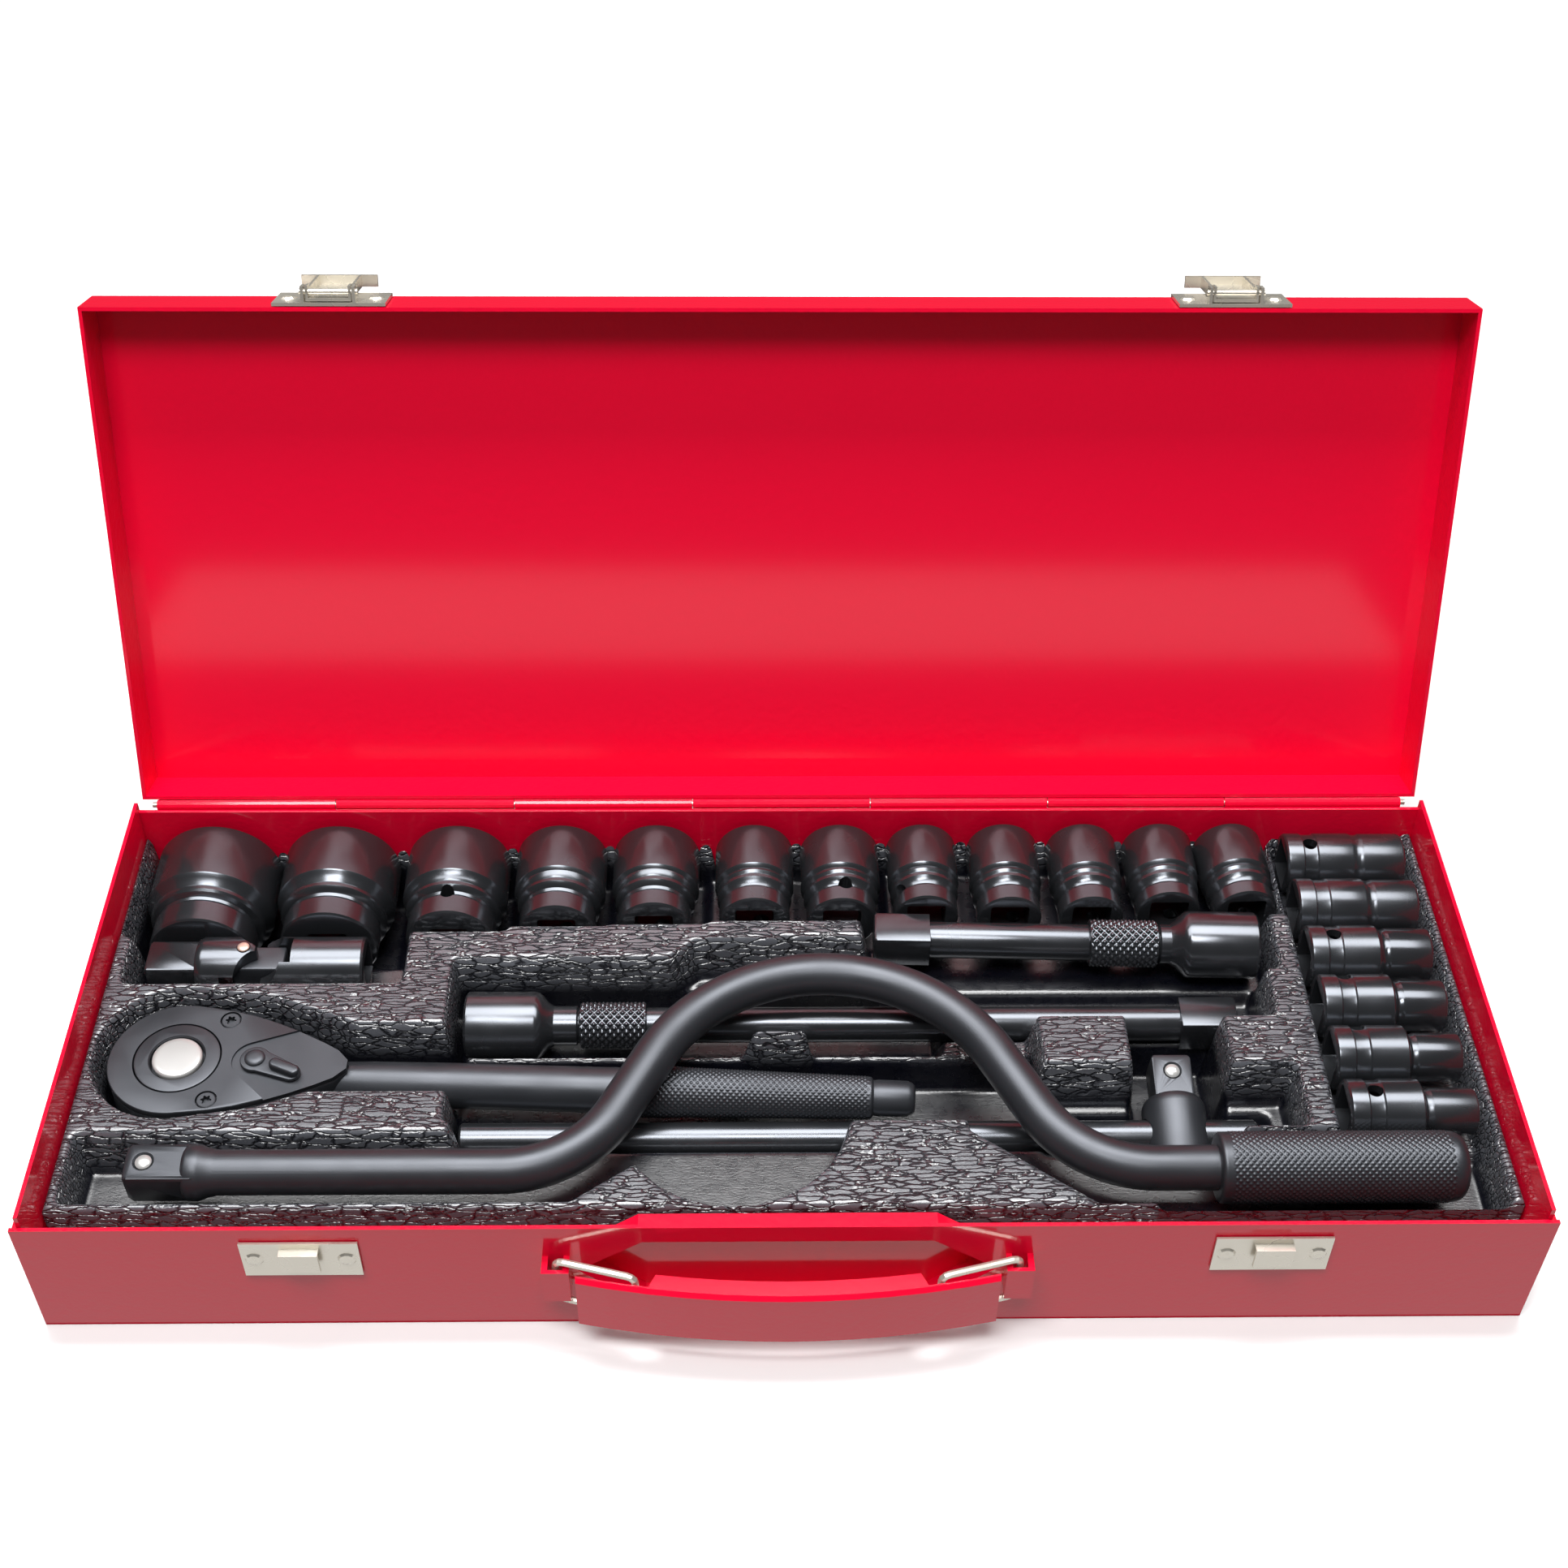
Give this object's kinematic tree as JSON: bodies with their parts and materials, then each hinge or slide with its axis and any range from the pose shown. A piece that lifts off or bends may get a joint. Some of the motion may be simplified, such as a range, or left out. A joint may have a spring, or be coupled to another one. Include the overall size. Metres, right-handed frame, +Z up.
{
  "type": "socket wrench set in case",
  "caption": "Half-inch-drive socket wrench set in a hinged red steel case with a moulded tray: sockets, ratchet, extensions, sliding T-bar, curved speed handle and universal joint.",
  "frame": {"origin": "middle of the case's underside, with the lid standing open at its stop", "axes": "+X along the case's length, +Y towards its hinge, +Z up"},
  "size_m": [0.442, 0.2653, 0.2151],
  "materials": {
    "red_paint": "gloss paint with slight orange peel",
    "tray_plastic": "moulded black plastic with a leather grain on its lands",
    "nickel": "warm satin nickel plate",
    "black_chrome": "polished black chrome",
    "black_steel": "satin blackened steel",
    "bright_steel": "bright polished steel"
  },
  "bodies": {
    "case": {"case_base": "red_paint", "front_panel": "red_paint", "hinge_leaf_base": "red_paint", "hinge_pin": "nickel", "tool_tray": "tray_plastic", "catch_plate_left": "nickel", "catch_plate_right": "nickel"},
    "lid": {"case_lid": "red_paint", "hinge_leaf_lid": "red_paint", "latch_plate_left": "nickel", "latch_plate_right": "nickel", "latch_pin_left": "nickel", "latch_pin_right": "nickel"},
    "latch_lever_left": {"latch_lever_left": "nickel"},
    "latch_lever_right": {"latch_lever_right": "nickel"},
    "handle_grip": {"handle_grip": "red_paint"},
    "handle_ring_left": {"handle_ring_left": "nickel"},
    "handle_ring_right": {"handle_ring_right": "nickel"},
    "socket_32mm": {"socket_32mm": "black_chrome"},
    "socket_30mm": {"socket_30mm": "black_chrome"},
    "socket_27mm": {"socket_27mm": "black_chrome"},
    "socket_24mm": {"socket_24mm": "black_chrome"},
    "socket_23mm": {"socket_23mm": "black_chrome"},
    "socket_22mm": {"socket_22mm": "black_chrome"},
    "socket_21mm": {"socket_21mm": "black_chrome"},
    "socket_20mm": {"socket_20mm": "black_chrome"},
    "socket_19mm": {"socket_19mm": "black_chrome"},
    "socket_18mm": {"socket_18mm": "black_chrome"},
    "socket_17mm": {"socket_17mm": "black_chrome"},
    "socket_16mm": {"socket_16mm": "black_chrome"},
    "socket_15mm": {"socket_15mm": "black_chrome"},
    "socket_14mm": {"socket_14mm": "black_chrome"},
    "socket_13mm": {"socket_13mm": "black_chrome"},
    "socket_12mm": {"socket_12mm": "black_chrome"},
    "socket_11mm": {"socket_11mm": "black_chrome"},
    "socket_10mm": {"socket_10mm": "black_chrome"},
    "ujoint_plug_yoke": {"ujoint_plug_yoke": "black_chrome"},
    "ujoint_centre_block": {"ujoint_centre_block": "black_steel"},
    "ujoint_socket_yoke": {"ujoint_socket_yoke": "black_chrome"},
    "extension_long": {"extension_long": "black_chrome"},
    "extension_short": {"extension_short": "black_chrome"},
    "tbar_rod": {"tbar_rod": "black_chrome"},
    "tbar_head": {"tbar_head": "black_steel", "tbar_detent_ball": "bright_steel"},
    "curved_handle": {"curved_handle_bar": "black_steel", "curved_handle_grip": "black_steel", "curved_handle_detent_ball": "bright_steel"},
    "ratchet": {"ratchet_body": "black_steel", "ratchet_cover": "black_steel", "ratchet_screw_1": "black_steel", "ratchet_screw_2": "black_steel", "ratchet_pawl": "bright_steel"},
    "ratchet_drive": {"ratchet_drive": "black_steel"},
    "ratchet_button": {"ratchet_button": "bright_steel"},
    "ratchet_selector": {"ratchet_selector": "black_steel"}
  },
  "joints": [
    {"name": "lid_hinge", "type": "hinge", "parent": "case", "child": "lid", "pos_m": [0, 0.0865, 0.0495], "axis": [1, 0, 0], "range_deg": [0, 109]},
    {"name": "latch_lever_left_pivot", "type": "hinge", "parent": "lid", "child": "latch_lever_left", "pos_m": [-0.14, 0.14497, 0.21286], "axis": [1, 0, 0], "range_deg": [0, 178]},
    {"name": "latch_lever_right_pivot", "type": "hinge", "parent": "lid", "child": "latch_lever_right", "pos_m": [0.14, 0.14497, 0.21286], "axis": [1, 0, 0], "range_deg": [0, 178]},
    {"name": "grip_swing_out", "type": "slide", "parent": "case", "child": "handle_grip", "axis": [0, -1, 0], "range_m": [-0.002, 0.008]},
    {"name": "ring_left_turn", "type": "hinge", "parent": "case", "child": "handle_ring_left", "pos_m": [-0.067, -0.0876, 0.0273], "axis": [0, 0, 1], "range_deg": [-20, 8]},
    {"name": "ring_right_turn", "type": "hinge", "parent": "case", "child": "handle_ring_right", "pos_m": [0.067, -0.0876, 0.0273], "axis": [0, 0, 1], "range_deg": [-8, 20]},
    {"name": "lift_socket_32mm", "type": "slide", "parent": "case", "child": "socket_32mm", "axis": [0, 0, -1], "range_m": [-0.06, 0]},
    {"name": "lift_socket_30mm", "type": "slide", "parent": "case", "child": "socket_30mm", "axis": [0, 0, -1], "range_m": [-0.06, 0]},
    {"name": "lift_socket_27mm", "type": "slide", "parent": "case", "child": "socket_27mm", "axis": [0, 0, -1], "range_m": [-0.06, 0]},
    {"name": "lift_socket_24mm", "type": "slide", "parent": "case", "child": "socket_24mm", "axis": [0, 0, -1], "range_m": [-0.06, 0]},
    {"name": "lift_socket_23mm", "type": "slide", "parent": "case", "child": "socket_23mm", "axis": [0, 0, -1], "range_m": [-0.06, 0]},
    {"name": "lift_socket_22mm", "type": "slide", "parent": "case", "child": "socket_22mm", "axis": [0, 0, -1], "range_m": [-0.06, 0]},
    {"name": "lift_socket_21mm", "type": "slide", "parent": "case", "child": "socket_21mm", "axis": [0, 0, -1], "range_m": [-0.06, 0]},
    {"name": "lift_socket_20mm", "type": "slide", "parent": "case", "child": "socket_20mm", "axis": [0, 0, -1], "range_m": [-0.06, 0]},
    {"name": "lift_socket_19mm", "type": "slide", "parent": "case", "child": "socket_19mm", "axis": [0, 0, -1], "range_m": [-0.06, 0]},
    {"name": "lift_socket_18mm", "type": "slide", "parent": "case", "child": "socket_18mm", "axis": [0, 0, -1], "range_m": [-0.06, 0]},
    {"name": "lift_socket_17mm", "type": "slide", "parent": "case", "child": "socket_17mm", "axis": [0, 0, -1], "range_m": [-0.06, 0]},
    {"name": "lift_socket_16mm", "type": "slide", "parent": "case", "child": "socket_16mm", "axis": [0, 0, -1], "range_m": [-0.06, 0]},
    {"name": "lift_socket_15mm", "type": "slide", "parent": "case", "child": "socket_15mm", "axis": [0, 0, -1], "range_m": [-0.06, 0]},
    {"name": "lift_socket_14mm", "type": "slide", "parent": "case", "child": "socket_14mm", "axis": [0, 0, -1], "range_m": [-0.06, 0]},
    {"name": "lift_socket_13mm", "type": "slide", "parent": "case", "child": "socket_13mm", "axis": [0, 0, -1], "range_m": [-0.06, 0]},
    {"name": "lift_socket_12mm", "type": "slide", "parent": "case", "child": "socket_12mm", "axis": [0, 0, -1], "range_m": [-0.06, 0]},
    {"name": "lift_socket_11mm", "type": "slide", "parent": "case", "child": "socket_11mm", "axis": [0, 0, -1], "range_m": [-0.06, 0]},
    {"name": "lift_socket_10mm", "type": "slide", "parent": "case", "child": "socket_10mm", "axis": [0, 0, -1], "range_m": [-0.06, 0]},
    {"name": "lift_ujoint", "type": "slide", "parent": "case", "child": "ujoint_plug_yoke", "axis": [0, 0, -1], "range_m": [-0.06, 0]},
    {"name": "lift_curved_handle", "type": "slide", "parent": "case", "child": "curved_handle", "axis": [0, 0, -1], "range_m": [-0.12, 0]},
    {"name": "lift_extension_short", "type": "slide", "parent": "case", "child": "extension_short", "axis": [0, 0, -1], "range_m": [-0.06, 0]},
    {"name": "lift_extension_long", "type": "slide", "parent": "case", "child": "extension_long", "axis": [0, 0, -1], "range_m": [-0.06, 0]},
    {"name": "lift_tbar", "type": "slide", "parent": "case", "child": "tbar_rod", "axis": [0, 0, -1], "range_m": [-0.06, 0]},
    {"name": "lift_ratchet", "type": "slide", "parent": "case", "child": "ratchet", "axis": [0, 0, -1], "range_m": [-0.06, 0]},
    {"name": "ujoint_upright_pin", "type": "hinge", "parent": "ujoint_plug_yoke", "child": "ujoint_centre_block", "pos_m": [-0.175, 0.03, 0.03], "axis": [0, 0, 1], "range_deg": [-2, 2]},
    {"name": "ujoint_level_pin", "type": "hinge", "parent": "ujoint_centre_block", "child": "ujoint_socket_yoke", "pos_m": [-0.167, 0.03, 0.03], "axis": [0, -1, 0], "range_deg": [0, 30]},
    {"name": "tbar_head_slide", "type": "slide", "parent": "tbar_rod", "child": "tbar_head", "axis": [1, 0, 0], "range_m": [-0.0024, 0.0044]},
    {"name": "ratchet_drive_turn", "type": "hinge", "parent": "ratchet", "child": "ratchet_drive", "pos_m": [-0.1895, -0.0115, 0.024], "axis": [0, 0, 1], "continuous": true},
    {"name": "ratchet_button_press", "type": "slide", "parent": "ratchet_drive", "child": "ratchet_button", "axis": [0, 0, -1], "range_m": [0, 0.0015], "stiffness_N_per_m": 500, "springref_m": -0.002},
    {"name": "ratchet_selector_turn", "type": "hinge", "parent": "ratchet", "child": "ratchet_selector", "pos_m": [-0.16502, -0.01253, 0.0355], "axis": [0, 0, 1], "range_deg": [0, 44]}
  ],
  "couplings": [
    {"joint": "ring_left_turn", "follows": "grip_swing_out", "rad_per_m": -43},
    {"joint": "ring_right_turn", "follows": "grip_swing_out", "rad_per_m": 43},
    {"joint": "lift_extension_long", "follows": "lift_curved_handle", "ratio": 0.5},
    {"joint": "lift_tbar", "follows": "lift_curved_handle", "ratio": 0.5},
    {"joint": "lift_ratchet", "follows": "lift_curved_handle", "ratio": 0.5}
  ]
}
